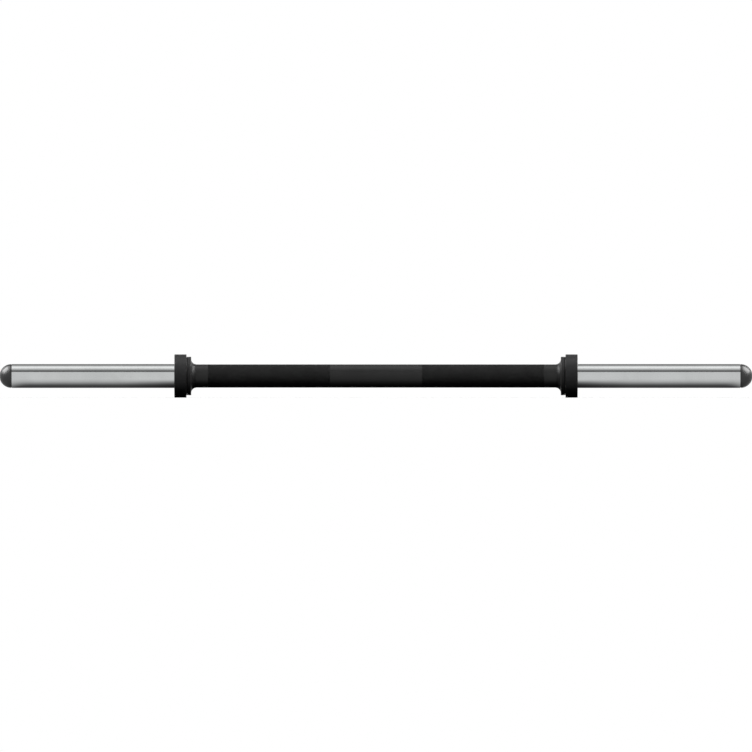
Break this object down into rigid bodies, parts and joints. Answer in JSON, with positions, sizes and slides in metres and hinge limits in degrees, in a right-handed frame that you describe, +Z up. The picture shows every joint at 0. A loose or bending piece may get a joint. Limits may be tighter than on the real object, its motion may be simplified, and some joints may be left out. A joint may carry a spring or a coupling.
{
  "type": "olympic barbell",
  "caption": "Short thick-grip olympic barbell: knurled black grip, flared shoulder collars, wide flanges, chromed loading sleeves that spin on bushings, and domed caps.",
  "frame": {"origin": "middle of the bar, on its axis: the centre of its bounding box", "axes": "+X along the bar towards the right sleeve, +Z up, +Y away from the viewer"},
  "size_m": [1.5666, 0.09, 0.09],
  "materials": {
    "black_oxide": "black oxide on knurled steel",
    "satin_black": "satin black on turned steel",
    "hard_chrome": "polished hard chrome",
    "ground_steel": "ground",
    "bearing_bronze": "turned bearing bronze",
    "black_polymer": "matt",
    "spring_steel": "phosphated",
    "gunmetal": "dark satin metal",
    "seal_rubber": "matt"
  },
  "bodies": {
    "handle": {"grip_tube": "black_oxide", "spindle_left": "ground_steel", "cross_pin_left": "spring_steel", "shoulder_collar_left": "satin_black", "thrust_washer_left": "black_polymer", "wear_washer_left": "bearing_bronze", "end_washer_left": "ground_steel", "snap_ring_left": "spring_steel", "spindle_right": "ground_steel", "cross_pin_right": "spring_steel", "shoulder_collar_right": "satin_black", "thrust_washer_right": "black_polymer", "wear_washer_right": "bearing_bronze", "end_washer_right": "ground_steel", "snap_ring_right": "spring_steel"},
    "left_sleeve": {"flange_left": "satin_black", "sleeve_left": "hard_chrome", "inner_bushing_left": "bearing_bronze", "outer_bushing_left": "bearing_bronze", "end_cap_left": "gunmetal", "cap_o_ring_left": "seal_rubber"},
    "right_sleeve": {"flange_right": "satin_black", "sleeve_right": "hard_chrome", "inner_bushing_right": "bearing_bronze", "outer_bushing_right": "bearing_bronze", "end_cap_right": "gunmetal", "cap_o_ring_right": "seal_rubber"}
  },
  "joints": [
    {"name": "left_sleeve_spin", "type": "hinge", "parent": "handle", "child": "left_sleeve", "pos_m": [0, 0, 0], "axis": [1, 0, 0], "continuous": true},
    {"name": "right_sleeve_spin", "type": "hinge", "parent": "handle", "child": "right_sleeve", "pos_m": [0, 0, 0], "axis": [1, 0, 0], "continuous": true}
  ]
}
